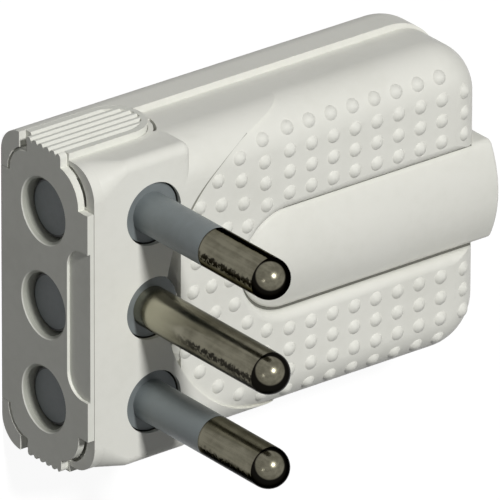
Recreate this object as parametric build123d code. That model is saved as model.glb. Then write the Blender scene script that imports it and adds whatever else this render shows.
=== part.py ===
from build123d import *
import math
import os

# A flat right-angled plug with three pins in line, lying on its back with the pins up.
# Millimetres. X runs along the body to the cable end, Y along the row of pins, Z up along the pins.
# The origin is the centre of the middle pin in the plane of the pin face.

# Pins of the 10 A three-pin in-line system
pin_diameter = 4.0
pin_pitch = 9.5
pin_length = 19.0
pin_root_diameter = 3.0
pin_root_depth = 2.0
sleeve_height = 9.1

# Outside of the housing
pin_to_end_face = 7.6
pin_to_cable_end = 39.4
cover_overhang = 0.7
cover_height = 5.1
shell_corner = 5.2
cover_corner = 6.0
grip_edge_round = 4.0
head_edge_round = 3.0
pad_edge_round = 1.0
cover_edge_round = 2.8

# Walls and fits
front_wall = 2.6
side_wall = 1.6
back_wall = 1.6
lip_height = 1.0
lip_thickness = 0.8
fit_gap = 0.05
turned_gap = 0.02

# Shoulder pads beside the outer pins
pad_start = -3.0
pad_end = 4.4
pad_end_round = 0.8
pad_run_in = 2.8

# Grip: domes on rings round one centre, and on straight rows beside the cable tunnel
grip_centre = 16.0
grip_margin = 1.41
grip_depth = 0.4
grip_run_out_angle = 75.0
dome_radius = 0.66
dome_top_radius = 0.3
dome_height = 0.28
dome_sides = 8
dome_clear_of_pin = 4.5
dome_pitch = 2.54
last_column_inset = 2.8
ring_clearance = 0.8
ring_pitch = 2.13
ring_count = 4
first_ring_steps = 4

# Cable tunnel: a shallow barrel with a ball end, in a trough with rounded shoulders
tunnel_half_width = 5.05
tunnel_crest_radius = 10.3
tunnel_groove = 0.15
trough_depth = 1.5
trough_shoulder = 0.9
nose_length = 1.0
nose_base_inset = 1.0
nose_corner = 3.5
tunnel_edge_round = 0.8
nose_edge_round = 0.4
cable_hole_diameter = 7.2
cable_cover = 0.1
cable_mouth_chamfer = 0.5

# End cap: proud plate with inset corners, three ports and a ribbed tab on each narrow side
cap_proud = 0.78
cap_plate = 2.0
cap_arris_inset = 4.0
cap_corner_depth = 1.4
cap_corner_inset = 0.6
cap_corner_round = 3.2
cap_rear_corner_round = 3.0
cap_rear_inset = 1.0
cap_slit = 0.25
cap_tooth_front = 4.05
cap_tooth_rear = 9.1
cap_tooth_round = 0.5
port_diameter = 6.1
port_chamfer = 0.3
port_depth = 6.65
tab_depth = 7.0
tab_half_width = 3.2
tab_reach = 3.8
tab_tip_length = 3.2
tab_thickness = 1.4
tab_border = 0.5
rib_pitch = 0.9
rib_count = 6
rib_groove_depth = 0.42
rib_groove_half_width = 0.3
nib_thickness = 0.4
nib_slit = 0.25
nib_length = 2.2
nib_offset = 0.5
nib_depth_range = 2.4
nib_slit_depth = 1.0
panel_half_width = 7.5
panel_height = 3.1
panel_corner = 2.2
panel_recess = 0.3

# Insulating carrier of the pins
collar_diameter = 5.9
collar_sink = 0.5
collar_gap = 0.15
carrier_plate = 2.0
carrier_room = 0.1
carrier_overrun = 2.0
carrier_wall = 1.2
carrier_partition = 1.5
port_gap = 0.3
port_sink = 1.0

# Terminals
block_length = 7.0
block_width = 6.0
block_height = 5.2
wire_hole_diameter = 2.2
wire_hole_depth = 3.5
terminal_screw_diameter = 2.6
terminal_clearance = 0.55
screw_head_height = 1.0
screw_head_diameter = 3.6
slot_width = 0.6
slot_depth = 0.5

# Cord clamp and cover screws
clamp_inset = 3.35
clamp_lift = 0.3
clamp_spacing = 14.0
clamp_width = 4.6
clamp_thickness = 1.2
clamp_post_diameter = 4.0
clamp_screw_diameter = 2.2
clamp_screw_length = 6.0
cover_screw_x = 21.0
cover_screw_inset = 3.8
cover_screw_diameter = 2.6
cover_screw_length = 8.0
cover_screw_head_diameter = 4.8
cover_screw_sink = 0.3
cover_post_diameter = 5.2

# Worked out from the sizes above
end_face_x = -pin_to_end_face
shell_start = end_face_x + cap_proud
nose_end = pin_to_cable_end + nose_length
carrier_half = pin_pitch + block_width / 2 + fit_gap + carrier_wall
cavity_half = carrier_half + fit_gap
shell_half = cavity_half + side_wall
cover_half = shell_half + cover_overhang
carrier_top = -front_wall - fit_gap
block_top = carrier_top - carrier_plate
block_bottom = block_top - block_height
floor_z = block_bottom - screw_head_height - terminal_clearance
back_z = floor_z - back_wall
seam_z = back_z + cover_height
ceiling_z = -front_wall
cavity_end = pin_to_cable_end - side_wall
pin_rows = {"left": pin_pitch, "middle": 0.0, "right": -pin_pitch}
carrier_start = end_face_x + cap_plate + carrier_room
carrier_end = block_length / 2 + carrier_overrun
nib_start = tab_reach - nib_length
port_z = -port_depth
hole_radius = collar_diameter / 2 + collar_gap
cap_arris_half_width = shell_half - cap_arris_inset
cap_corner_half_width = shell_half - cap_corner_inset
cap_rear_half_width = cap_corner_half_width - cap_rear_corner_round
cable_z = ceiling_z - cable_cover - cable_hole_diameter / 2
clamp_x = cavity_end - fit_gap - lip_thickness - clamp_inset - clamp_width / 2
clamp_top = floor_z + clamp_lift + clamp_thickness
clamp_head_diameter = clamp_screw_diameter + clamp_thickness
cover_screw_y = cavity_half - cover_screw_inset
first_ring = tunnel_half_width + tunnel_groove + trough_shoulder + ring_clearance
grip_radius = first_ring + (ring_count - 1) * ring_pitch + grip_margin
last_column = pin_to_cable_end - last_column_inset
over = 1.0


# Plan of one half of the housing: square at the pin end, rounded at the cable end.
def housing_plan(start_x, end_x, half_width, corner):
    plan = Pos((start_x + end_x) / 2, 0) * Rectangle(end_x - start_x, 2 * half_width)
    far_corners = plan.vertices().group_by(Axis.X)[-1]
    return fillet(far_corners, corner)


# Solid from a plan between two heights.
def between(plan, low_z, high_z):
    return extrude(Pos(0, 0, low_z) * plan, high_z - low_z)


# Solid from an outline in Y and Z between two places along X.
def along_x(outline, start_x, end_x):
    return extrude(Plane.YZ.offset(start_x) * outline, end_x - start_x)


# Cylinder along Z between two heights.
def upright(x, y, radius, low_z, high_z):
    return between(Pos(x, y) * Circle(radius), low_z, high_z)


# Cylinder along X between two places.
def level(y, z, radius, start_x, end_x):
    return along_x(Pos(y, z) * Circle(radius), start_x, end_x)


# Box from its low and high corners.
def block(low, high):
    size = [h - l for l, h in zip(low, high)]
    middle = [(l + h) / 2 for l, h in zip(low, high)]
    return Pos(*middle) * Box(*size)


# Rectangle in an outline plane from its limits.
def limits(low_u, high_u, low_v, high_v):
    middle = Pos((low_u + high_u) / 2, (low_v + high_v) / 2)
    return middle * Rectangle(high_u - low_u, high_v - low_v)


# Solid with a half profile turned round the grip centre at its pin end and drawn along X from there.
def bullet(profile, end_x):
    upright_profile = Plane(origin=(grip_centre, 0, 0), x_dir=(0, 1, 0), z_dir=(1, 0, 0)) * profile
    turning_axis = Axis((grip_centre, 0, 0), (0, 0, 1))
    ball_end = revolve(upright_profile, turning_axis, 180)
    half = extrude(upright_profile, end_x - grip_centre)
    return ball_end + half + mirror(half, Plane.XZ)


# Outline of a prism with its two upper corners rounded, seen along X.
def section(half_width, low_z, high_z, upper_round):
    outline = limits(-half_width, half_width, low_z, high_z)
    return fillet(outline.vertices().group_by(Axis.Y)[-1], upper_round)


# Outside of the front shell, before the grip is sunk into it.
def shell_outside():
    handle = between(
        housing_plan(pad_end - over, pin_to_cable_end, shell_half, shell_corner), seam_z, 0
    )
    rims = handle.edges().group_by(Axis.Z)[-1].sort_by(Axis.X)[1:]
    return fillet(rims, grip_edge_round)


# End of the housing round the pins, with the squarer pads beside the outer pins.
def head_outside():
    run_in_start = pad_start - pad_run_in
    end_section = section(shell_half, seam_z, 0, head_edge_round)
    pad_section = section(shell_half, seam_z, 0, pad_edge_round)
    head = along_x(end_section, shell_start, run_in_start)
    run_in = loft([
        Plane.YZ.offset(run_in_start) * end_section, Plane.YZ.offset(pad_start) * pad_section
    ])
    pad = along_x(pad_section, pad_start, pad_end)
    corner_edges = pad.faces().sort_by(Axis.X)[-1].edges().filter_by(
        lambda edge: edge.center().Z > seam_z + over
    )
    return head + run_in + fillet(corner_edges, pad_end_round)


# Plan of the sunk grip: part of a disc that runs out to the narrow sides along its tangents.
def grip_plan():
    angle = math.radians(grip_run_out_angle)
    touch_x = grip_centre - grip_radius * math.cos(angle)
    touch_y = grip_radius * math.sin(angle)
    side_y = shell_half + over
    side_x = touch_x + (side_y - touch_y) * math.tan(angle)
    far_x = pin_to_cable_end + over
    fan = make_face(Polyline(
        (touch_x, touch_y), (side_x, side_y), (far_x, side_y),
        (far_x, -side_y), (side_x, -side_y), (touch_x, -touch_y), close=True,
    ))
    return fan + Pos(grip_centre, 0) * Circle(grip_radius)


# Place on the grip's surface, turned to face outwards where the shell's edges are rounded.
def grip_place(x, y):
    side_reach = max(abs(y) - shell_half + grip_edge_round, 0)
    end_reach = max(x - pin_to_cable_end + grip_edge_round, 0)
    reach = max(side_reach, end_reach)
    fall = grip_edge_round - math.sqrt(grip_edge_round ** 2 - reach ** 2)
    side_lean = math.degrees(math.asin(side_reach / grip_edge_round))
    end_lean = math.degrees(math.asin(end_reach / grip_edge_round))
    lean = Rotation(-math.copysign(side_lean, y), end_lean, 0)
    return Pos(x, y, -grip_depth - fall) * lean


# Places of the domes: quarter rings on both sides of the pins, then rows towards the cable end.
def dome_places():
    places = []
    for ring in range(ring_count):
        radius = first_ring + ring * ring_pitch
        steps = first_ring_steps + ring
        for step in range(-steps, steps + 1):
            angle = math.radians(90 * step / steps)
            places.append(
                (grip_centre - radius * math.cos(angle), radius * math.sin(angle))
            )
        column_count = int((last_column - grip_centre) / dome_pitch)
        columns = [grip_centre + dome_pitch * index for index in range(1, column_count)]
        if ring < ring_count - 1:
            columns.append(last_column)
        places += [(x, side * radius) for x in columns for side in (-1, 1)]
    return [place for place in places if math.hypot(*place) > dome_clear_of_pin]


# One dome, faceted: it tapers from its foot in the grip's surface to its top.
def dome(x, y):
    root = dome_radius
    rise = dome_height + root
    spread = (dome_radius - dome_top_radius) / dome_height
    foot = RegularPolygon(dome_radius + spread * root, dome_sides)
    taper = math.degrees(math.atan(spread))
    return grip_place(x, y) * Pos(0, 0, -root) * extrude(foot, rise, taper=taper)


# Half profile of the trough round the cable tunnel, with its rounded shoulder.
def trough_profile():
    wall_y = tunnel_half_width + tunnel_groove
    shoulder_low = -grip_depth - trough_shoulder
    top_y = wall_y + trough_shoulder
    shoulder = Pos(top_y, shoulder_low) * Circle(trough_shoulder)
    above_shoulder = limits(wall_y, top_y, shoulder_low, over) - shoulder
    return limits(0, wall_y, -trough_depth, over) + above_shoulder


# Half profile of the tunnel's barrel, with its upper edge rounded.
def tunnel_profile():
    side_top = math.sqrt(tunnel_crest_radius ** 2 - tunnel_half_width ** 2) - tunnel_crest_radius
    low = side_top - 2 * tunnel_edge_round
    disc = Pos(0, -tunnel_crest_radius) * Circle(tunnel_crest_radius)
    half = disc & limits(0, tunnel_half_width, low, over)
    edge = half.vertices().group_by(Axis.X)[-1].sort_by(Axis.Y)[-1]
    return fillet(edge, tunnel_edge_round)


# Outline of the nose that the cord passes through, with room round it where another piece fits it.
def nose_outline(room):
    radius = tunnel_crest_radius + room
    disc = Pos(0, -tunnel_crest_radius) * Circle(radius)
    half = tunnel_half_width + room
    sides = limits(-half, half, back_z + nose_base_inset - room, over)
    sides = fillet(sides.vertices().group_by(Axis.Y)[0], nose_corner)
    outline = disc & sides
    upper = outline.vertices().filter_by(lambda corner: corner.Y > -tunnel_crest_radius / 2)
    return fillet(upper, tunnel_edge_round)


# Outline of the end plate, with room round its inset corners.
def cap_outline(room):
    front = cap_arris_half_width + room
    rear = cap_rear_half_width + room
    side = cap_corner_half_width + room
    inset = limits(-side, side, back_z + cap_rear_inset - room, -cap_corner_depth + room)
    upper = inset.vertices().group_by(Axis.Y)[-1]
    inset = fillet(upper, cap_corner_round)
    lower = inset.vertices().group_by(Axis.Y)[0]
    inset = fillet(lower, cap_rear_corner_round)
    return inset + limits(-front, front, -port_depth, 0) + limits(-rear, rear, back_z, -port_depth)


# Outline of a grip tab seen along Y, in X and Z: straight sides and a half-oval tip.
def tab_outline(start_x, room):
    tip_x = tab_reach + room
    middle_x = tip_x - tab_tip_length
    half = tab_half_width + room
    straight = limits(start_x, middle_x, -tab_depth - half, -tab_depth + half)
    return straight + Pos(middle_x, -tab_depth) * Ellipse(tab_tip_length, half)


# Solid from an outline in X and Z, on both narrow sides between two distances from the middle.
def on_both_sides(outline, near_y, far_y):
    one = extrude(Plane(origin=(0, near_y, 0), x_dir=(1, 0, 0), z_dir=(0, -1, 0)) * outline, near_y - far_y)
    return one + mirror(one, Plane.XZ)


# Room for the tabs in both halves of the housing.
def tab_pockets():
    inner_y = cover_half - tab_thickness - fit_gap
    pocket = on_both_sides(tab_outline(shell_start - over, fit_gap), inner_y, cover_half + over)
    near = tab_outline(nib_start, fit_gap + nib_thickness)
    far = tab_outline(nib_start, fit_gap + nib_thickness + nib_slit)
    low = -tab_depth + nib_offset
    slit = (far - near) & limits(nib_start, tab_reach + over, low, low + nib_depth_range)
    return pocket + on_both_sides(slit, shell_half - nib_slit_depth, cover_half + over)


def make_front_shell():
    outside = shell_outside()
    plan = grip_plan()
    sunk = between(plan, seam_z - over, over) - Pos(0, 0, -grip_depth) * outside
    shell = outside + head_outside() - sunk
    shell -= bullet(trough_profile(), nose_end + over)
    shell += bullet(tunnel_profile(), pin_to_cable_end)
    nose = along_x(nose_outline(0), pin_to_cable_end, nose_end)
    nose = fillet(nose.faces().sort_by(Axis.X)[-1].outer_wire().edges(), nose_edge_round)
    nose_root = nose_outline(0) & limits(-cover_half, cover_half, back_z, -trough_depth)
    nose += along_x(nose_root, cavity_end, pin_to_cable_end)
    domes = [dome(x, y) for x, y in dome_places()]
    shell = shell + nose + domes
    cavity = housing_plan(shell_start - over, cavity_end, cavity_half, shell_corner - side_wall)
    shell -= between(cavity, seam_z - over, ceiling_z)
    opening = along_x(cap_outline(cap_slit), shell_start - over, end_face_x + cap_plate)
    front_edge = block(
        (shell_start - over, -cap_arris_half_width - cap_slit, ceiling_z),
        (end_face_x + cap_plate + over, cap_arris_half_width + cap_slit, over),
    )
    shell -= opening - front_edge
    shell -= tab_pockets()
    for y in pin_rows.values():
        shell -= upright(0, y, hole_radius, ceiling_z - over, over)
    for side in (-1, 1):
        clamp_y = side * clamp_spacing / 2
        post_end = clamp_top + fit_gap
        shell += upright(clamp_x, clamp_y, clamp_post_diameter / 2, post_end, ceiling_z)
        pilot = post_end + clamp_screw_length + fit_gap
        shell -= upright(clamp_x, clamp_y, clamp_screw_diameter / 2 + turned_gap, post_end - over, pilot)
        cover_y = side * cover_screw_y
        shell += upright(cover_screw_x, cover_y, cover_post_diameter / 2, seam_z, ceiling_z)
        pilot = back_z + cover_screw_sink + cover_screw_length + fit_gap
        shell -= upright(cover_screw_x, cover_y, cover_screw_diameter / 2 + turned_gap, seam_z - over, pilot)
    hole = level(0, cable_z, cable_hole_diameter / 2, cavity_end - over, nose_end + over)
    shell -= hole
    rim = shell.faces().filter_by(Axis.X).sort_by(Axis.X)[-1].inner_wires()[0]
    return chamfer(rim.edges(), cable_mouth_chamfer)


# Screw along Z with a flat head below, its head's end at head_z, and a straight slot.
def cheese_screw(x, y, head_z, length, diameter):
    head = upright(x, y, screw_head_diameter / 2, head_z, head_z + screw_head_height)
    shank = upright(x, y, diameter / 2, head_z + screw_head_height, head_z + screw_head_height + length)
    half = screw_head_diameter
    slot = block(
        (x - half, y - slot_width / 2, head_z - over), (x + half, y + slot_width / 2, head_z + slot_depth)
    )
    return head + shank - slot


# Screw along Z with a cone under its head, flush at head_z, and a straight slot.
def countersunk(x, y, head_z, length, diameter, head_diameter):
    cone_height = (head_diameter - diameter) / 2
    cone = Pos(x, y, head_z + cone_height / 2) * Cone(head_diameter / 2, diameter / 2, cone_height)
    shank = upright(x, y, diameter / 2, head_z + cone_height, head_z + length)
    half = head_diameter
    slot = block(
        (x - half, y - slot_width / 2, head_z - over), (x + half, y + slot_width / 2, head_z + slot_depth)
    )
    return cone + shank - slot


# Hole for a countersunk screw, open downwards.
def countersunk_hole(x, y, head_z, diameter, head_diameter, high_z):
    room = turned_gap
    cone_height = (head_diameter - diameter) / 2
    cone = Pos(x, y, head_z + cone_height / 2) * Cone(
        head_diameter / 2 + room, diameter / 2 + room, cone_height
    )
    way_in = upright(x, y, head_diameter / 2 + room, head_z - over, head_z)
    bore = upright(x, y, diameter / 2 + room, head_z + cone_height - room, high_z)
    return cone + way_in + bore


def make_rear_cover():
    plan = housing_plan(shell_start, pin_to_cable_end, cover_half, cover_corner)
    cover = between(plan, back_z, seam_z - fit_gap)
    rims = cover.edges().group_by(Axis.Z)[0].sort_by(Axis.X)[1:]
    cover = fillet(rims, cover_edge_round)
    ends = section(cover_half, -(seam_z - fit_gap), -back_z, cover_edge_round)
    corners = along_x(mirror(ends, Plane.XZ), end_face_x, shell_start)
    corners -= block(
        (end_face_x - over, -cap_rear_half_width, back_z - over), (shell_start + over, cap_rear_half_width, 0)
    )
    corners -= block(
        (end_face_x - over, -cover_half - over, -cap_tooth_rear - fit_gap),
        (shell_start, cover_half + over, 0),
    )
    cover += corners - along_x(cap_outline(fit_gap), end_face_x - over, shell_start + over)
    cavity = housing_plan(shell_start - over, cavity_end, cavity_half, shell_corner - side_wall)
    cover -= between(cavity, floor_z, seam_z + over)
    lip_start = end_face_x + cap_plate + fit_gap
    lip_z = seam_z + lip_height
    outer = housing_plan(
        lip_start, cavity_end - fit_gap, cavity_half - fit_gap, shell_corner - side_wall
    )
    inner = offset(outer, -lip_thickness)
    lip = between(outer, floor_z, lip_z) - between(inner, floor_z - over, lip_z + over)
    lip -= block(
        (shell_start - over, -cover_half, floor_z - over), (carrier_end + over, cover_half, lip_z + over)
    )
    cover += lip
    nose_room = along_x(nose_outline(fit_gap), cavity_end - lip_thickness - over, nose_end)
    cover -= nose_room
    cover -= along_x(cap_outline(fit_gap), end_face_x - over, end_face_x + cap_plate + fit_gap)
    cover -= tab_pockets()
    for side in (-1, 1):
        y = side * cover_screw_y
        cover += upright(cover_screw_x, y, cover_post_diameter / 2, floor_z - turned_gap, seam_z - fit_gap)
        cover -= countersunk_hole(
            cover_screw_x, y, back_z + cover_screw_sink, cover_screw_diameter, cover_screw_head_diameter, over
        )
    return cover


# Grooves between the ribs of both tabs, kept inside a plain border round the tip.
def rib_grooves():
    inside = on_both_sides(tab_outline(end_face_x - over, -tab_border), shell_half - over, cover_half + over)
    grooves = []
    for index in range(rib_count):
        z = -tab_depth + (index - (rib_count - 1) / 2) * rib_pitch
        tip = (cover_half - rib_groove_depth, z)
        half = rib_groove_half_width
        wedge = make_face(Polyline(tip, (cover_half, z + half), (cover_half, z - half), close=True))
        groove = along_x(wedge, end_face_x - over, tab_reach)
        grooves += [groove & inside, mirror(groove, Plane.XZ) & inside]
    return grooves


def make_end_cap():
    plate = along_x(cap_outline(0), end_face_x, end_face_x + cap_plate)
    behind = block(
        (shell_start - fit_gap, -cover_half, ceiling_z - fit_gap), (carrier_start, cover_half, over)
    )
    plate -= behind
    teeth = limits(-cover_half, cover_half, -cap_tooth_rear, -cap_tooth_front)
    teeth = fillet(teeth.vertices().group_by(Axis.Y)[-1], cap_tooth_round)
    tab_root = along_x(teeth, end_face_x, shell_start + over)
    tab_root -= block((shell_start - over, -cavity_half, back_z), (shell_start + 2 * over, cavity_half, 0))
    tabs = on_both_sides(tab_outline(shell_start, 0), cover_half - tab_thickness, cover_half)
    cap = plate + tab_root + tabs
    for groove in rib_grooves():
        cap -= groove
    for y in pin_rows.values():
        cap -= level(y, port_z, port_diameter / 2, end_face_x - over, end_face_x + cap_plate + over)
    panel = limits(-panel_half_width, panel_half_width, -panel_height, over)
    panel = fillet(panel.vertices().group_by(Axis.Y)[0], panel_corner)
    cap -= along_x(panel, end_face_x - over, end_face_x + panel_recess)
    front_edges = cap.faces().filter_by(Axis.X).sort_by(Axis.X)[0].edges().filter_by(GeomType.CIRCLE)
    port_edges = front_edges.filter_by(lambda edge: abs(edge.radius - port_diameter / 2) < fit_gap)
    return chamfer(port_edges, port_chamfer)


def make_pin_carrier():
    half = carrier_half
    low = floor_z + fit_gap + lip_thickness
    carrier = block((carrier_start, -half, block_top), (carrier_end, half, carrier_top))
    carrier += block((carrier_start, -half, low), (carrier_start + carrier_wall, half, block_top))
    walls = [half - carrier_wall / 2, -half + carrier_wall / 2]
    for y in walls:
        carrier += block(
            (carrier_start, y - carrier_wall / 2, low), (carrier_end, y + carrier_wall / 2, block_top)
        )
    for y in (-pin_pitch / 2, pin_pitch / 2):
        carrier += block(
            (carrier_start, y - carrier_partition / 2, low),
            (carrier_end, y + carrier_partition / 2, block_top),
        )
    for y in pin_rows.values():
        carrier += upright(0, y, collar_diameter / 2, carrier_top, -collar_sink)
        carrier += level(y, port_z, port_diameter / 2 - port_gap, end_face_x + port_sink, carrier_start)
        carrier -= upright(0, y, pin_root_diameter / 2 + turned_gap, block_top - over, over)
    return carrier


# Pin with a round tip and a thinner root, whose shoulder rests on the collar.
def make_pin(y, covered):
    tip_radius = pin_diameter / 2
    shoulder = sleeve_height if covered else -collar_sink + turned_gap
    pin = upright(0, y, tip_radius, shoulder, pin_length - tip_radius)
    pin += upright(0, y, pin_root_diameter / 2, block_top - pin_root_depth, shoulder)
    return pin + Pos(0, y, pin_length - tip_radius) * Sphere(tip_radius)


def make_sleeve(y):
    low = -collar_sink + turned_gap
    outside = upright(0, y, pin_diameter / 2, low, sleeve_height)
    return outside - upright(0, y, pin_root_diameter / 2, low - over, sleeve_height + over)


def wire_z():
    return block_top - pin_root_depth - fit_gap - wire_hole_diameter / 2


def make_terminal_block(y):
    body = block(
        (-block_length / 2, y - block_width / 2, block_bottom),
        (block_length / 2, y + block_width / 2, block_top - fit_gap),
    )
    body -= upright(0, y, pin_root_diameter / 2 + turned_gap, block_top - pin_root_depth, block_top + over)
    body -= level(y, wire_z(), wire_hole_diameter / 2, block_length / 2 - wire_hole_depth, block_length)
    return body - upright(
        0, y, terminal_screw_diameter / 2 + turned_gap, block_bottom - over, wire_z() - fit_gap
    )


def make_terminal_screw(y):
    length = wire_z() - wire_hole_diameter / 2 - block_bottom
    return cheese_screw(0, y, block_bottom - screw_head_height, length, terminal_screw_diameter)


def make_cord_clamp():
    low = clamp_top - clamp_thickness
    bar = between(
        Pos(clamp_x, 0) * SlotOverall(clamp_spacing + clamp_width, clamp_width, 90), low, clamp_top
    )
    for side in (-1, 1):
        y = side * clamp_spacing / 2
        bar -= countersunk_hole(clamp_x, y, low, clamp_screw_diameter, clamp_head_diameter, over)
    return bar


def make_clamp_screw(side):
    return countersunk(
        clamp_x, side * clamp_spacing / 2, clamp_top - clamp_thickness, clamp_screw_length,
        clamp_screw_diameter, clamp_head_diameter,
    )


def make_cover_screw(side):
    return countersunk(
        cover_screw_x, side * cover_screw_y, back_z + cover_screw_sink, cover_screw_length,
        cover_screw_diameter, cover_screw_head_diameter,
    )


parts = {
    "front_shell": make_front_shell(),
    "rear_cover": make_rear_cover(),
    "end_cap": make_end_cap(),
    "pin_carrier": make_pin_carrier(),
    "earth_pin": make_pin(0, False),
    "cord_clamp": make_cord_clamp(),
}
for name, y in pin_rows.items():
    parts["terminal_block_" + name] = make_terminal_block(y)
    parts["terminal_screw_" + name] = make_terminal_screw(y)
for name in ("left", "right"):
    side = 1 if name == "left" else -1
    parts["live_pin_" + name] = make_pin(pin_rows[name], True)
    parts["live_sleeve_" + name] = make_sleeve(pin_rows[name])
    parts["clamp_screw_" + name] = make_clamp_screw(side)
    parts["cover_screw_" + name] = make_cover_screw(side)

os.makedirs("parts", exist_ok=True)
for name, solid in parts.items():
    solid.label = name
    export_step(solid, "parts/" + name + ".step")
    print(name, round(solid.volume, 2))
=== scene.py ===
import bpy
import math
import numpy as np
from mathutils import Matrix, Vector


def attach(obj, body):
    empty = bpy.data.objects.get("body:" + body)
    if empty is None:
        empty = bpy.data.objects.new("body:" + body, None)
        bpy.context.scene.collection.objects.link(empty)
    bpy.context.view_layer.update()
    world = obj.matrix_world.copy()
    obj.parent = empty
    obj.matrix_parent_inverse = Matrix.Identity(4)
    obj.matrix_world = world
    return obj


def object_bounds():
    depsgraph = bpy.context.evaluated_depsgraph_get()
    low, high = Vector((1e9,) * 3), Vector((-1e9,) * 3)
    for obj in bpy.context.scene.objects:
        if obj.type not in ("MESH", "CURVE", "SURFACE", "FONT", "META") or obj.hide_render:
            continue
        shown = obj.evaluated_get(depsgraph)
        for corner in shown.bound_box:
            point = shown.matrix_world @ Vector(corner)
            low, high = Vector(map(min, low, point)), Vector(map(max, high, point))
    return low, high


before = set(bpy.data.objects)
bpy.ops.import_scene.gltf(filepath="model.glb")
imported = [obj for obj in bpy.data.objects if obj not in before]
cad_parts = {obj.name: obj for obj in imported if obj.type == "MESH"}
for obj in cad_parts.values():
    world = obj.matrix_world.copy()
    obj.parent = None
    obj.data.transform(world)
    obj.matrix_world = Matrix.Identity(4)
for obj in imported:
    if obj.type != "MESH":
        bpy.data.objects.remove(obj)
cadLow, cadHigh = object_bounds()
print("frame loaded:", len(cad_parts), "nodes")

mm = 0.001
pinPitch = 9.5  # from pin to pin and from port to port, in mm like the other sizes in the dictionaries
gripCentreX = 16.0  # shared by the grip's rings of domes, its outline and the round end of its tunnel
plainWhite = (1.0, 1.0, 1.0, 1.0)


# directions of the picture in the frame, and how many pixels of a 500 px picture a millimetre takes
cameraSettings = {
    "back": (-0.5488, 0.4344, 0.7142),
    "right": (0.7929, 0.0, 0.6093),
    "distance": 1.4286,
    "pixelsPerMm": 10.972,
    "originPixel": (154.0, 308.1),
    "pictureSize": 500,
    "sensor": 36.0,
    "clipStart": 0.1,
    "clipEnd": 20.0,
}


# the camera looks along the ray of the picture's middle, so that no shift is needed
def makeCamera(settings):
    back = Vector(settings["back"]).normalized()
    right = Vector(settings["right"]).normalized()
    up = back.cross(right).normalized()
    focalPixels = settings["pixelsPerMm"] * settings["distance"] / mm
    half = settings["pictureSize"] / 2
    offsetX = half - settings["originPixel"][0]
    offsetY = settings["originPixel"][1] - half
    ray = (-back * focalPixels + right * offsetX + up * offsetY).normalized()
    side = ray.cross(up).normalized()
    upright = side.cross(ray).normalized()
    data = bpy.data.cameras.new("camera")
    data.sensor_width = settings["sensor"]
    data.lens = focalPixels / settings["pictureSize"] * settings["sensor"]
    data.clip_start = settings["clipStart"]
    data.clip_end = settings["clipEnd"]
    camera = bpy.data.objects.new("camera", data)
    bpy.context.scene.collection.objects.link(camera)
    turn = Matrix((side, upright, -ray)).transposed().to_4x4()
    camera.matrix_world = Matrix.Translation(back * settings["distance"]) @ turn
    bpy.context.scene.camera = camera


makeCamera(cameraSettings)
print("camera placed")


# a fixed value goes on the node's own input, anything else is linked to it
def feed(tree, value, socket):
    if isinstance(value, (int, float, tuple)):
        socket.default_value = value
    else:
        tree.links.new(value, socket)


def addMath(tree, operation, first, second=None):
    node = tree.nodes.new("ShaderNodeMath")
    node.operation = operation
    feed(tree, first, node.inputs[0])
    if second is not None:
        feed(tree, second, node.inputs[1])
    return node.outputs[0]


def addProduct(tree, *factors):
    result = factors[0]
    for factor in factors[1:]:
        result = addMath(tree, "MULTIPLY", result, factor)
    return result


def addSplit(tree, vector):
    node = tree.nodes.new("ShaderNodeSeparateXYZ")
    tree.links.new(vector, node.inputs[0])
    return node.outputs["X"], node.outputs["Y"], node.outputs["Z"]


def addJoin(tree, x, y, z):
    node = tree.nodes.new("ShaderNodeCombineXYZ")
    for value, socket in zip((x, y, z), node.inputs):
        tree.links.new(value, socket)
    return node.outputs[0]


def addMapping(tree, vector, location=(0.0, 0.0, 0.0), scale=(1.0, 1.0, 1.0)):
    node = tree.nodes.new("ShaderNodeMapping")
    node.inputs["Location"].default_value = location
    node.inputs["Scale"].default_value = scale
    tree.links.new(vector, node.inputs["Vector"])
    return node.outputs["Vector"]


def addNoise(tree, vector, scale, detail, roughness):
    noise = tree.nodes.new("ShaderNodeTexNoise")
    noise.inputs["Detail"].default_value = detail
    noise.inputs["Roughness"].default_value = roughness
    tree.links.new(vector, noise.inputs["Vector"])
    feed(tree, scale, noise.inputs["Scale"])
    return noise.outputs["Fac"]


# maps a value from one range to another, smoothly and clamped
def addRange(tree, value, low, high, toLow, toHigh):
    node = tree.nodes.new("ShaderNodeMapRange")
    node.interpolation_type = "SMOOTHSTEP"
    for label, limit in (("From Min", low), ("From Max", high), ("To Min", toLow), ("To Max", toHigh)):
        feed(tree, limit, node.inputs[label])
    tree.links.new(value, node.inputs["Value"])
    return node.outputs["Result"]


def addColourMix(tree, factor, first, second):
    node = tree.nodes.new("ShaderNodeMix")
    node.data_type = "RGBA"
    tree.links.new(factor, node.inputs["Factor"])
    for label, colour in (("A", first), ("B", second)):
        feed(tree, colour, [socket for socket in node.inputs if socket.name == label and socket.type == "RGBA"][0])
    return [socket for socket in node.outputs if socket.type == "RGBA"][0]


# how near a vector points to an axis, as the cosine of the angle between them
def addDirection(tree, vector, axis):
    unit = tree.nodes.new("ShaderNodeVectorMath")
    unit.operation = "NORMALIZE"
    tree.links.new(vector, unit.inputs[0])
    dot = tree.nodes.new("ShaderNodeVectorMath")
    dot.operation = "DOT_PRODUCT"
    dot.inputs[1].default_value = axis
    tree.links.new(unit.outputs["Vector"], dot.inputs[0])
    return dot.outputs["Value"]


lightSettings = {
    "keyLamp": {
        "direction": (-0.085, 0.565, 0.82), "distance": 1.0, "size": 0.14, "watts": 8.5,
        "colour": (1.0, 0.995, 0.98),
    },
    "sideLamp": {
        "direction": (-0.895, 0.176, 0.41), "distance": 1.2, "size": 0.06, "watts": 0.7,
        "colour": (1.0, 1.0, 1.0),
    },
}


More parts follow.
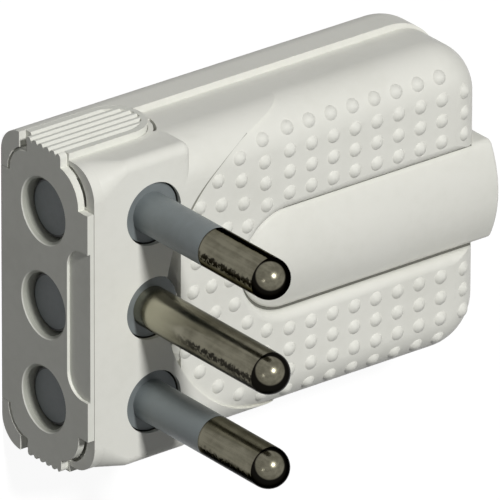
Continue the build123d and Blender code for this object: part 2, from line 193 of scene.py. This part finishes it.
def makeLamp(name, settings):
    data = bpy.data.lights.new(name, "AREA")
    data.shape = "DISK"
    data.size = settings["size"]
    data.energy = settings["watts"]
    data.color = settings["colour"]
    lamp = bpy.data.objects.new(name, data)
    bpy.context.scene.collection.objects.link(lamp)
    direction = Vector(settings["direction"]).normalized()
    lamp.location = direction * settings["distance"]
    lamp.rotation_euler = direction.to_track_quat("Z", "Y").to_euler()


# one where a ray comes from the camera, a reflection or a pane
def addSeenRays(tree):
    path = tree.nodes.new("ShaderNodeLightPath").outputs
    cameraOrGlossy = addMath(tree, "MAXIMUM", path["Is Camera Ray"], path["Is Glossy Ray"])
    return addMath(tree, "MAXIMUM", cameraOrGlossy, path["Is Transmission Ray"])


worldSettings = {"fill": 0.12, "seen": 1.0}  # strength that lights the plug, and strength that is seen


def makeWorld(settings):
    world = bpy.data.worlds.new("studio")
    world.use_nodes = True
    tree = world.node_tree
    tree.nodes.clear()
    choose = tree.nodes.new("ShaderNodeMixShader")
    tree.links.new(addSeenRays(tree), choose.inputs["Fac"])
    for strength, socket in ((settings["fill"], choose.inputs[1]), (settings["seen"], choose.inputs[2])):
        backdrop = tree.nodes.new("ShaderNodeBackground")
        backdrop.inputs["Color"].default_value = plainWhite
        backdrop.inputs["Strength"].default_value = strength
        tree.links.new(backdrop.outputs[0], socket)
    output = tree.nodes.new("ShaderNodeOutputWorld")
    tree.links.new(choose.outputs[0], output.inputs["Surface"])
    bpy.context.scene.world = world


floorSettings = {"colour": (0.12, 0.12, 0.12, 1.0), "glow": 0.93, "half": 1.6}


# the floor takes the plug's shadow, and a glow seen by the camera lifts it to white
def makeFloor(settings):
    half = settings["half"]
    z = cadLow.z
    mesh = bpy.data.meshes.new("floor")
    corners = [(-half, -half, z), (half, -half, z), (half, half, z), (-half, half, z)]
    mesh.from_pydata(corners, [], [(0, 1, 2, 3)])
    floor = bpy.data.objects.new("floor", mesh)
    bpy.context.scene.collection.objects.link(floor)
    material = bpy.data.materials.new("paleFloor")
    material.use_nodes = True
    tree = material.node_tree
    tree.nodes.clear()
    matt = tree.nodes.new("ShaderNodeBsdfDiffuse")
    matt.inputs["Color"].default_value = settings["colour"]
    glow = tree.nodes.new("ShaderNodeEmission")
    tree.links.new(addMath(tree, "MULTIPLY", addSeenRays(tree), settings["glow"]), glow.inputs["Strength"])
    both = tree.nodes.new("ShaderNodeAddShader")
    tree.links.new(matt.outputs[0], both.inputs[0])
    tree.links.new(glow.outputs[0], both.inputs[1])
    output = tree.nodes.new("ShaderNodeOutputMaterial")
    tree.links.new(both.outputs[0], output.inputs["Surface"])
    mesh.materials.append(material)


for name, settings in lightSettings.items():
    makeLamp(name, settings)
makeWorld(worldSettings)
makeFloor(floorSettings)
bpy.context.scene.view_settings.view_transform = "Standard"
print("light and floor set")


# node group with named inputs (label, kind, value) and outputs (label, kind)
def newGroup(name, inputs, outputs):
    group = bpy.data.node_groups.new(name, "ShaderNodeTree")
    for label, kind, value in inputs:
        socket = group.interface.new_socket(label, in_out="INPUT", socket_type=kind)
        if value is not None:
            socket.default_value = value
    for label, kind in outputs:
        group.interface.new_socket(label, in_out="OUTPUT", socket_type=kind)
    start = group.nodes.new("NodeGroupInput")
    end = group.nodes.new("NodeGroupOutput")
    return group, start.outputs, end.inputs


def addGroup(tree, group, vector, values):
    node = tree.nodes.new("ShaderNodeGroup")
    node.node_tree = group
    tree.links.new(vector, node.inputs["Vector"])
    for label, value in values.items():
        node.inputs[label].default_value = value
    return node.outputs


surfaceOutputs = [("Color", "NodeSocketColor"), ("Roughness", "NodeSocketFloat"), ("Height", "NodeSocketFloat")]

skinSettings = {
    "grainDetail": 3.0, "grainRoughness": 0.6, "grainLow": 0.3, "grainHigh": 0.7,
    "flowScale": 90.0, "flowDetail": 4.0, "flowRoughness": 0.55, "flowShare": 0.65,
    "speckScale": 900.0, "speckDetail": 2.0, "speckRoughness": 0.5,
    "markLow": 0.42, "markHigh": 0.68,
}


# skin of a moulding: spark-eroded grain that varies its gloss, and faint flow marks and specks in its tone
def makeMouldedSkin(settings):
    group, given, result = newGroup(
        "mouldedSkin",
        [
            ("Vector", "NodeSocketVector", None),
            ("Tone", "NodeSocketColor", (0.8, 0.8, 0.8, 1.0)),
            ("Shade", "NodeSocketColor", (0.6, 0.6, 0.6, 1.0)),
            ("Grain scale", "NodeSocketFloat", 5000.0),
            ("Marking", "NodeSocketFloat", 0.3),
            ("Gloss low", "NodeSocketFloat", 0.4),
            ("Gloss high", "NodeSocketFloat", 0.55),
        ],
        surfaceOutputs,
    )
    place = given["Vector"]
    grain = addNoise(group, place, given["Grain scale"], settings["grainDetail"], settings["grainRoughness"])
    flow = addNoise(group, place, settings["flowScale"], settings["flowDetail"], settings["flowRoughness"])
    speck = addNoise(group, place, settings["speckScale"], settings["speckDetail"], settings["speckRoughness"])
    flowPart = addMath(group, "MULTIPLY", flow, settings["flowShare"])
    speckPart = addMath(group, "MULTIPLY", speck, 1 - settings["flowShare"])
    mottled = addMath(group, "ADD", flowPart, speckPart)
    marks = addRange(group, mottled, settings["markLow"], settings["markHigh"], 0.0, 1.0)
    mask = addMath(group, "MULTIPLY", marks, given["Marking"])
    gloss = addRange(
        group, grain, settings["grainLow"], settings["grainHigh"], given["Gloss low"], given["Gloss high"]
    )
    group.links.new(addColourMix(group, mask, given["Tone"], given["Shade"]), result["Color"])
    group.links.new(gloss, result["Roughness"])
    group.links.new(grain, result["Height"])
    return group


# shade in a narrow gap: between two radii from the nearest of three axes in a row, and below a depth
def makeGapShade():
    group, given, result = newGroup(
        "gapShade",
        [
            ("Vector", "NodeSocketVector", None),
            ("Pitch", "NodeSocketFloat", 0.0095),
            ("Inside", "NodeSocketFloat", 0.0028),
            ("Outside", "NodeSocketFloat", 0.0032),
            ("Depth", "NodeSocketFloat", -0.0003),
            ("Soft", "NodeSocketFloat", 0.0001),
        ],
        [("Mask", "NodeSocketFloat")],
    )
    x, y, z = addSplit(group, given["Vector"])
    nearest = addMath(group, "ROUND", addMath(group, "DIVIDE", y, given["Pitch"]))
    rowNumber = addMath(group, "MAXIMUM", addMath(group, "MINIMUM", nearest, 1.0), -1.0)
    side = addMath(group, "SUBTRACT", y, addMath(group, "MULTIPLY", rowNumber, given["Pitch"]))
    squares = addMath(group, "ADD", addMath(group, "POWER", x, 2.0), addMath(group, "POWER", side, 2.0))
    radius = addMath(group, "SQRT", squares)
    innerEdge = addMath(group, "SUBTRACT", given["Inside"], given["Soft"])
    outerEdge = addMath(group, "ADD", given["Outside"], given["Soft"])
    lowEdge = addMath(group, "SUBTRACT", given["Depth"], given["Soft"])
    beyond = addRange(group, radius, innerEdge, given["Inside"], 0.0, 1.0)
    within = addRange(group, radius, given["Outside"], outerEdge, 1.0, 0.0)
    below = addRange(group, z, lowEdge, given["Depth"], 1.0, 0.0)
    group.links.new(addProduct(group, beyond, within, below), result["Mask"])
    return group


metalSettings = {
    "stretch": 0.06, "lineDetail": 3.0, "lineRoughness": 0.6, "lineShare": 0.5,
    "patchScale": 420.0, "patchDetail": 4.0, "patchRoughness": 0.6, "patchLow": 0.35, "patchHigh": 0.65,
    "wornLow": 0.4, "wornHigh": 0.62,
}


# machined or plated metal: lines drawn along Z, with duller and darker patches
def makeDrawnMetal(settings):
    group, given, result = newGroup(
        "drawnMetal",
        [
            ("Vector", "NodeSocketVector", None),
            ("Bright", "NodeSocketColor", (0.6, 0.6, 0.6, 1.0)),
            ("Dull", "NodeSocketColor", (0.3, 0.3, 0.3, 1.0)),
            ("Line scale", "NodeSocketFloat", 1500.0),
            ("Gloss low", "NodeSocketFloat", 0.2),
            ("Gloss high", "NodeSocketFloat", 0.4),
        ],
        surfaceOutputs,
    )
    stretched = addMapping(group, given["Vector"], scale=(1.0, 1.0, settings["stretch"]))
    lines = addNoise(group, stretched, given["Line scale"], settings["lineDetail"], settings["lineRoughness"])
    patches = addNoise(
        group, given["Vector"], settings["patchScale"], settings["patchDetail"], settings["patchRoughness"]
    )
    linePart = addMath(group, "MULTIPLY", lines, settings["lineShare"])
    patchPart = addMath(group, "MULTIPLY", patches, 1 - settings["lineShare"])
    mottled = addMath(group, "ADD", linePart, patchPart)
    worn = addRange(group, mottled, settings["wornLow"], settings["wornHigh"], 0.0, 1.0)
    gloss = addRange(
        group, patches, settings["patchLow"], settings["patchHigh"], given["Gloss low"], given["Gloss high"]
    )
    group.links.new(addColourMix(group, worn, given["Bright"], given["Dull"]), result["Color"])
    group.links.new(gloss, result["Roughness"])
    group.links.new(lines, result["Height"])
    return group


mouldedSkin = makeMouldedSkin(skinSettings)
gapShade = makeGapShade()
drawnMetal = makeDrawnMetal(metalSettings)
print("shared effects made")


def newMaterial(name):
    material = bpy.data.materials.new(name)
    material.use_nodes = True
    tree = material.node_tree
    shader = tree.nodes["Principled BSDF"]
    place = tree.nodes.new("ShaderNodeTexCoord").outputs["Object"]
    return material, tree, shader, place


def addBump(tree, height, distance, strength):
    bump = tree.nodes.new("ShaderNodeBump")
    bump.inputs["Distance"].default_value = distance
    bump.inputs["Strength"].default_value = strength
    tree.links.new(height, bump.inputs["Height"])
    return bump.outputs["Normal"]


# how far a value has gone past a limit, and nothing before it
def addPast(tree, value, limit):
    return addMath(tree, "MAXIMUM", addMath(tree, "SUBTRACT", value, limit), 0.0)


# the frame's origin is on the middle pin's axis, in the pin face, so places from the pins need no change
def addPinPlace(tree, place):
    return place


portPlace = {"centreZ": -6.65, "endFaceX": -7.6}


# place measured from the ports: X and Y across them from their row's axis, and Z out of the end face
def addPortPlace(tree, place):
    x, y, z = addSplit(tree, place)
    across = addMath(tree, "SUBTRACT", z, portPlace["centreZ"] * mm)
    out = addMath(tree, "SUBTRACT", portPlace["endFaceX"] * mm, x)
    return addJoin(tree, across, y, out)


gripPlace = {
    "creaseEndX": 38.1,
    "arcEndX": 11.3,
    "arcStartY": 7.5,
    "squeeze": 0.096,  # share by which Y shrinks towards squeezeY, so that the crease closes in on the step
    "squeezeY": 9.5,
    "lift": 5.0,  # rise for each step past an end, which takes a place out of the shade
}


# place for the creases beside the tunnel: towards the cable end only Y counts, so a ring goes on as two lines
def addTunnelPlace(tree, place):
    x, y, z = addSplit(tree, place)
    fromCentre = addMath(tree, "MINIMUM", addMath(tree, "SUBTRACT", x, gripCentreX * mm), 0.0)
    lift = addMath(tree, "MULTIPLY", addPast(tree, x, gripPlace["creaseEndX"] * mm), gripPlace["lift"])
    return addJoin(tree, fromCentre, y, addMath(tree, "ADD", z, lift))


# place for the crease at the foot of the step round the grip, on its upper side only
def addStepPlace(tree, place):
    x, y, z = addSplit(tree, place)
    fromCentre = addMath(tree, "SUBTRACT", x, gripCentreX * mm)
    squeezed = addMath(tree, "MULTIPLY", y, 1 - gripPlace["squeeze"])
    side = addMath(tree, "ADD", squeezed, gripPlace["squeeze"] * gripPlace["squeezeY"] * mm)
    pastEnd = addPast(tree, x, gripPlace["arcEndX"] * mm)
    beforeStart = addMath(tree, "MAXIMUM", addMath(tree, "SUBTRACT", gripPlace["arcStartY"] * mm, y), 0.0)
    lift = addMath(tree, "MULTIPLY", addMath(tree, "ADD", pastEnd, beforeStart), gripPlace["lift"])
    return addJoin(tree, fromCentre, side, addMath(tree, "ADD", z, lift))


placeFrom = {"pins": addPinPlace, "ports": addPortPlace, "tunnel": addTunnelPlace, "step": addStepPlace}
oneRow = 1000.0  # a pitch far past the plug's size leaves only the middle axis
plasticIor = 1.5

# radii and depths of the shades are in millimetres
plasticSettings = {
    "housingPlastic": {
        "tone": (0.765, 0.765, 0.715, 1.0), "shade": (0.71, 0.71, 0.655, 1.0), "grainScale": 5200.0,
        "marking": 0.5, "glossLow": 0.34, "glossHigh": 0.5, "grainDepth": 0.00002, "grainStrength": 0.25,
        "specular": 0.1,
        "paintedShades": [
            # painted shade in the holes round the pin collars, below the pin face
            {
                "from": "pins", "pitch": pinPitch, "inside": 2.8, "outside": 3.2, "depth": -0.4,
                "colour": (0.05, 0.05, 0.042, 1.0),
            },
            # painted shade along the crease at the foot of the tunnel and round its end
            {
                "from": "tunnel", "pitch": oneRow, "inside": 4.9, "outside": 5.3, "depth": -1.35,
                "colour": (0.16, 0.16, 0.14, 1.0),
            },
            # painted shadow along the foot of the step on the grip's upper arc
            {
                "from": "step", "pitch": oneRow, "inside": 14.16, "outside": 14.28, "depth": -0.3,
                "colour": (0.25, 0.25, 0.215, 1.0),
            },
        ],
    },
    "capPlastic": {
        "tone": (0.75, 0.755, 0.70, 1.0), "shade": (0.68, 0.685, 0.63, 1.0), "grainScale": 4200.0,
        "marking": 0.6, "glossLow": 0.36, "glossHigh": 0.52, "grainDepth": 0.00003, "grainStrength": 0.3,
        "specular": 0.1,
        "paintedShades": [
            # painted shade on the walls inside the ports, past the chamfer
            {
                "from": "ports", "pitch": pinPitch, "inside": 0.0, "outside": 3.3, "depth": -0.04,
                "colour": (0.52, 0.53, 0.47, 1.0),
            },
        ],
    },
    "carrierPlastic": {
        # tone set a little darker than the sleeve plastic it matches: painted shade for the discs in the ports
        "tone": (0.17, 0.19, 0.195, 1.0), "shade": (0.13, 0.145, 0.15, 1.0), "grainScale": 4200.0,
        "marking": 0.6, "glossLow": 0.34, "glossHigh": 0.5, "grainDepth": 0.00002, "grainStrength": 0.2,
        "specular": 0.3,
        "paintedShades": [
            # painted shade on the collars in the gap round them, below the pin face
            {
                "from": "pins", "pitch": pinPitch, "inside": 2.84, "outside": 3.2, "depth": -0.52,
                "colour": (0.01, 0.01, 0.01, 1.0),
            },
            # painted shadow round the rim of the discs in the ports
            {
                "from": "ports", "pitch": pinPitch, "inside": 2.62, "outside": 3.2, "depth": -0.5,
                "colour": (0.02, 0.022, 0.022, 1.0),
            },
        ],
    },
    "sleevePlastic": {
        "tone": (0.2, 0.228, 0.235, 1.0), "shade": (0.16, 0.18, 0.18, 1.0), "grainScale": 4200.0,
        "marking": 0.5, "glossLow": 0.38, "glossHigh": 0.52, "grainDepth": 0.00002, "grainStrength": 0.15,
        "specular": 0.45,
        "paintedShades": [],
    },
}


def makePlastic(name, settings):
    material, tree, shader, place = newMaterial(name)
    skin = addGroup(tree, mouldedSkin, place, {
        "Tone": settings["tone"], "Shade": settings["shade"],
        "Grain scale": settings["grainScale"], "Marking": settings["marking"],
        "Gloss low": settings["glossLow"], "Gloss high": settings["glossHigh"],
    })
    colour = skin["Color"]
    # each of these darkens the colour inside its mask: painted shade in holes, ports and creases
    for paintedShade in settings["paintedShades"]:
        shade = addGroup(tree, gapShade, placeFrom[paintedShade["from"]](tree, place), {
            "Pitch": paintedShade["pitch"] * mm, "Inside": paintedShade["inside"] * mm,
            "Outside": paintedShade["outside"] * mm, "Depth": paintedShade["depth"] * mm,
        })
        colour = addColourMix(tree, shade["Mask"], colour, paintedShade["colour"])
    normal = addBump(tree, skin["Height"], settings["grainDepth"], settings["grainStrength"])
    tree.links.new(colour, shader.inputs["Base Color"])
    tree.links.new(skin["Roughness"], shader.inputs["Roughness"])
    tree.links.new(normal, shader.inputs["Normal"])
    shader.inputs["IOR"].default_value = plasticIor
    shader.inputs["Specular IOR Level"].default_value = settings["specular"]
    return material


# drawn metal with its colour left open, for what each piece lays over it
def makeMetal(name, settings, offset=(0.0, 0.0, 0.0)):
    material, tree, shader, place = newMaterial(name)
    metal = addGroup(tree, drawnMetal, addMapping(tree, place, location=offset), {
        "Bright": settings["bright"], "Dull": settings["dull"], "Line scale": settings["lineScale"],
        "Gloss low": settings["glossLow"], "Gloss high": settings["glossHigh"],
    })
    normal = addBump(tree, metal["Height"], settings["lineDepth"], settings["lineStrength"])
    tree.links.new(metal["Color"], shader.inputs["Base Color"])
    tree.links.new(metal["Roughness"], shader.inputs["Roughness"])
    tree.links.new(normal, shader.inputs["Normal"])
    shader.inputs["Metallic"].default_value = 1.0
    return material, tree, shader, place, metal["Color"]


pinSettings = {
    "bright": (0.165, 0.156, 0.118, 1.0),
    "dull": (0.105, 0.099, 0.073, 1.0),
    # lighter tone for the painted light on the middle pin's root
    "paintedRootLight": (0.44, 0.425, 0.335, 1.0),
    # near black for the dark joint and for the painted dark reflections
    "dark": (0.006, 0.0055, 0.0045, 1.0),
    "lineScale": 2200.0,
    "glossLow": 0.16,
    "glossHigh": 0.27,
    "lineDepth": 0.000004,
    "lineStrength": 0.3,
    "raggedScale": 2600.0,
    "raggedDetail": 4.0,
    "raggedRoughness": 0.75,
    "streakOuter": 1.35,  # shares of a streak's half angle where it begins and where it is full
    "streakInner": 0.75,
    "tipCentre": 17.0 * mm,
    "tipBlend": 0.1 * mm,
    "jointHeight": 9.1 * mm,
    "jointWidth": 0.22 * mm,
    # the ring values place the painted dark reflection round each tip's lit side
    "ringAxis": (-0.45, 0.54, 0.71),
    "ringEdge": 0.75,
    "ringSoft": 0.035,
    "ringFull": 0.2,
    "ringEnd": -0.15,
}

# angles are in degrees round the pin from +X, and heights in millimetres above the pin face
pinLooks = {
    "leftPinMetal": {
        "axisY": pinPitch, "grazing": (0.2, 0.2, 0.2, 1.0), "joint": 0.9,
        "paintedRootLight": 0.0, "paintedRootLightFull": 1.0, "paintedRootLightEnd": 2.0,
        "paintedReflectionStreaks": [
            {"angle": 84.0, "half": 8.5, "ragged": 12.0, "from": -2.0, "full": -1.0, "strength": 0.97},
            {"angle": 181.5, "half": 9.0, "ragged": 55.0, "from": 8.0, "full": 10.0, "strength": 0.9},
        ],
    },
    "middlePinMetal": {
        "axisY": 0.0, "grazing": (0.5, 0.5, 0.5, 1.0), "joint": 0.0,
        "paintedRootLight": 0.85, "paintedRootLightFull": 2.0, "paintedRootLightEnd": 8.0,
        "paintedReflectionStreaks": [
            {"angle": 182.0, "half": 8.5, "ragged": 55.0, "from": 4.0, "full": 9.0, "strength": 0.9},
            {"angle": 206.0, "half": 9.0, "ragged": 60.0, "from": 12.5, "full": 15.5, "strength": 0.8},
        ],
    },
    "rightPinMetal": {
        "axisY": -pinPitch, "grazing": (0.4, 0.4, 0.4, 1.0), "joint": 0.6,
        "paintedRootLight": 0.0, "paintedRootLightFull": 1.0, "paintedRootLightEnd": 2.0,
        "paintedReflectionStreaks": [
            {"angle": 212.0, "half": 24.0, "ragged": 50.0, "from": 8.0, "full": 10.0, "strength": 0.97},
        ],
    },
}


# painted dark reflection streak along the pin: dark where the way out from its axis is near the streak's angle
def addPaintedReflectionStreak(tree, radial, along, ragged, streak, settings):
    angle = math.radians(streak["angle"])
    half = math.radians(streak["half"])
    near = addDirection(tree, radial, (math.cos(angle), math.sin(angle), 0.0))
    reach = math.sin(half) * math.radians(streak["ragged"])
    shift = addMath(tree, "MULTIPLY", addMath(tree, "SUBTRACT", ragged, 0.5), reach)
    begin = math.cos(half * settings["streakOuter"])
    full = math.cos(half * settings["streakInner"])
    band = addRange(tree, addMath(tree, "ADD", near, shift), begin, full, 0.0, streak["strength"])
    shown = addRange(tree, along, streak["from"] * mm, streak["full"] * mm, 0.0, 1.0)
    tip = settings["tipCentre"]
    below = addRange(tree, along, tip, tip + settings["tipBlend"], 1.0, 0.0)
    return addProduct(tree, band, shown, below)


# painted dark reflection round the lit side of the tip: outside a cone round the ring's axis, and fading on the
# far side
def addPaintedTipReflection(tree, fromTip, along, settings):
    lit = addDirection(tree, fromTip, settings["ringAxis"])
    edge, soft = settings["ringEdge"], settings["ringSoft"]
    outside = addRange(tree, lit, edge - soft, edge + soft, 1.0, 0.0)
    facing = addRange(tree, lit, settings["ringEnd"], settings["ringFull"], 0.0, 1.0)
    tip = settings["tipCentre"]
    above = addRange(tree, along, tip - settings["tipBlend"], tip, 0.0, 1.0)
    return addProduct(tree, outside, facing, above)


# plated pin: drawn lines along it, a root painted lighter, painted dark reflections along it and round the tip,
# and a dark joint
def makePinMetal(name, settings, look):
    axisY = look["axisY"] * mm
    material, tree, shader, place, drawn = makeMetal(name, settings, offset=(0.0, -axisY, 0.0))
    centred = addMapping(tree, place, location=(0.0, -axisY, 0.0))
    radial = addMapping(tree, centred, scale=(1.0, 1.0, 0.0))
    fromTip = addMapping(tree, place, location=(0.0, -axisY, -settings["tipCentre"]))
    along = addSplit(tree, centred)[2]
    ragged = addNoise(
        tree, centred, settings["raggedScale"], settings["raggedDetail"], settings["raggedRoughness"]
    )
    joint = settings["jointHeight"]
    dark = addMath(
        tree, "MAXIMUM", addPaintedTipReflection(tree, fromTip, along, settings),
        addRange(tree, along, joint, joint + settings["jointWidth"], look["joint"], 0.0),
    )
    for streak in look["paintedReflectionStreaks"]:
        dark = addMath(tree, "MAXIMUM", dark, addPaintedReflectionStreak(tree, radial, along, ragged, streak, settings))
    # painted light: the middle pin lighter towards its root
    paintedRootLight = addRange(tree, along, look["paintedRootLightFull"] * mm, look["paintedRootLightEnd"] * mm, look["paintedRootLight"], 0.0)
    tone = addColourMix(tree, paintedRootLight, drawn, settings["paintedRootLight"])
    tree.links.new(addColourMix(tree, dark, tone, settings["dark"]), shader.inputs["Base Color"])
    shader.inputs["Specular Tint"].default_value = look["grazing"]
    return material


hiddenMetalSettings = {
    "blockBrass": {
        "bright": (0.62, 0.48, 0.24, 1.0), "dull": (0.45, 0.33, 0.15, 1.0), "lineScale": 1800.0,
        "glossLow": 0.25, "glossHigh": 0.42, "lineDepth": 0.000005, "lineStrength": 0.3,
    },
    "screwSteel": {
        "bright": (0.6, 0.6, 0.6, 1.0), "dull": (0.42, 0.42, 0.41, 1.0), "lineScale": 2600.0,
        "glossLow": 0.2, "glossHigh": 0.38, "lineDepth": 0.000005, "lineStrength": 0.3,
    },
}

materials = {name: makePlastic(name, settings) for name, settings in plasticSettings.items()}
for name, look in pinLooks.items():
    materials[name] = makePinMetal(name, pinSettings, look)
for name, settings in hiddenMetalSettings.items():
    materials[name] = makeMetal(name, settings)[0]

finishOfNode = {
    "front_shell": "housingPlastic", "rear_cover": "housingPlastic", "end_cap": "capPlastic",
    "pin_carrier": "carrierPlastic", "cord_clamp": "carrierPlastic",
    "live_sleeve_left": "sleevePlastic", "live_sleeve_right": "sleevePlastic",
    "live_pin_left": "leftPinMetal", "earth_pin": "middlePinMetal", "live_pin_right": "rightPinMetal",
}
for name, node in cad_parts.items():
    finish = finishOfNode.get(name, "blockBrass" if name.startswith("terminal_block") else "screwSteel")
    node.data.materials.clear()
    node.data.materials.append(materials[finish])
print("materials on", len(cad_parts), "nodes")


# domes of the grip, in millimetres; the last column has one dome fewer, where the corner is round
domeSettings = {
    "firstRing": 6.9, "ringPitch": 2.13, "rings": 4, "firstSteps": 4,
    "rowPitch": 2.54, "columns": 8, "lastColumn": 36.6, "clearOfPin": 4.5,
    "cableEnd": 39.4, "halfWidth": 15.4, "edgeRound": 4.0, "edgeLimit": 0.999, "gripDepth": 0.4,
    "radius": 0.75, "height": 0.345, "power": 1.12, "sink": 0.04, "segments": 24, "hoops": 8,
}


# places on quarter rings round one centre and on straight rows beside the tunnel, as columns of x and y
def domePlaces(settings):
    found = []
    for ring in range(settings["rings"]):
        radius = settings["firstRing"] + ring * settings["ringPitch"]
        steps = settings["firstSteps"] + ring
        angles = np.radians(90.0 * np.arange(-steps, steps + 1) / steps)
        found.append(np.c_[gripCentreX - radius * np.cos(angles), radius * np.sin(angles)])
        columns = gripCentreX + settings["rowPitch"] * np.arange(1, settings["columns"])
        if ring < settings["rings"] - 1:
            columns = np.append(columns, settings["lastColumn"])
        for side in (-1, 1):
            found.append(np.c_[columns, np.full(len(columns), side * radius)])
    places = np.vstack(found)
    return places[np.hypot(places[:, 0], places[:, 1]) > settings["clearOfPin"]]


# dome: a bell turned round its axis; height h·(1 - (r/R)²)^p, on hoops at equal steps of r from R inwards
def domeBell(settings):
    segments, hoops = settings["segments"], settings["hoops"]
    radius = settings["radius"] * np.linspace(1.0, 0.0, hoops + 1)[:-1]
    turn = np.linspace(0.0, 2 * np.pi, segments, endpoint=False)
    across = (radius[:, None] * np.cos(turn)).ravel()
    beside = (radius[:, None] * np.sin(turn)).ravel()
    share = (np.hypot(across, beside) / settings["radius"]) ** 2
    height = settings["height"] * (1 - share).clip(0) ** settings["power"]
    height[:segments] = -settings["sink"]
    points = np.vstack([np.c_[across, beside, height], [[0.0, 0.0, settings["height"]]]])
    low = np.arange((hoops - 1) * segments)
    nextLow = low // segments * segments + (low + 1) % segments
    quads = np.c_[low, nextLow, nextLow + segments, low + segments]
    rim = (hoops - 1) * segments + np.arange(segments)
    nextRim = (hoops - 1) * segments + (np.arange(segments) + 1) % segments
    fan = np.c_[rim, nextRim, np.full(segments, len(points) - 1)]
    return points, quads, fan


# how far the grip's surface has fallen at places in plan, on arcs along its edges, and which way it faces there
def gripSurface(x, y, settings):
    edgeRound = settings["edgeRound"]
    sideReach = np.maximum(np.abs(y) - settings["halfWidth"] + edgeRound, 0.0) * np.sign(y)
    endReach = np.maximum(x - settings["cableEnd"] + edgeRound, 0.0)
    reach = np.minimum(np.hypot(sideReach, endReach), edgeRound * settings["edgeLimit"])
    rise = np.sqrt(edgeRound ** 2 - reach ** 2)
    outward = np.stack([endReach, sideReach, rise], axis=-1)
    outward /= np.linalg.norm(outward, axis=-1)[..., None]
    return -settings["gripDepth"] - edgeRound + rise, outward


# every dome is turned to the surface it sits on: its points drop onto that surface and rise along its outward way
def makeDomes(settings):
    places = domePlaces(settings)
    points, quads, fan = domeBell(settings)
    outward = gripSurface(places[:, 0], places[:, 1], settings)[1]
    across = np.cross(outward, np.array([0.0, 1.0, 0.0]))
    across /= np.linalg.norm(across, axis=1)[:, None]
    beside = np.cross(across, outward)
    stepsAcross = points[None, :, :1] * across[:, None, :2]
    stepsBeside = points[None, :, 1:2] * beside[:, None, :2]
    plan = places[:, None] + stepsAcross + stepsBeside
    footZ, footOutward = gripSurface(plan[..., 0], plan[..., 1], settings)
    every = np.concatenate([plan, footZ[..., None]], axis=2) + points[None, :, 2:] * footOutward
    first = len(points) * np.arange(len(places))
    faces = (quads[None] + first[:, None, None]).reshape(-1, 4).tolist()
    faces += (fan[None] + first[:, None, None]).reshape(-1, 3).tolist()
    mesh = bpy.data.meshes.new("gripDomes")
    mesh.from_pydata((every.reshape(-1, 3) * mm).tolist(), [], faces)
    mesh.polygons.foreach_set("use_smooth", np.ones(len(faces), dtype=bool))
    mesh.update()
    mesh.materials.append(materials["housingPlastic"])
    domes = bpy.data.objects.new("gripDomes", mesh)
    bpy.context.scene.collection.objects.link(domes)
    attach(domes, "root")
    return len(places)


print("domes made:", makeDomes(domeSettings))
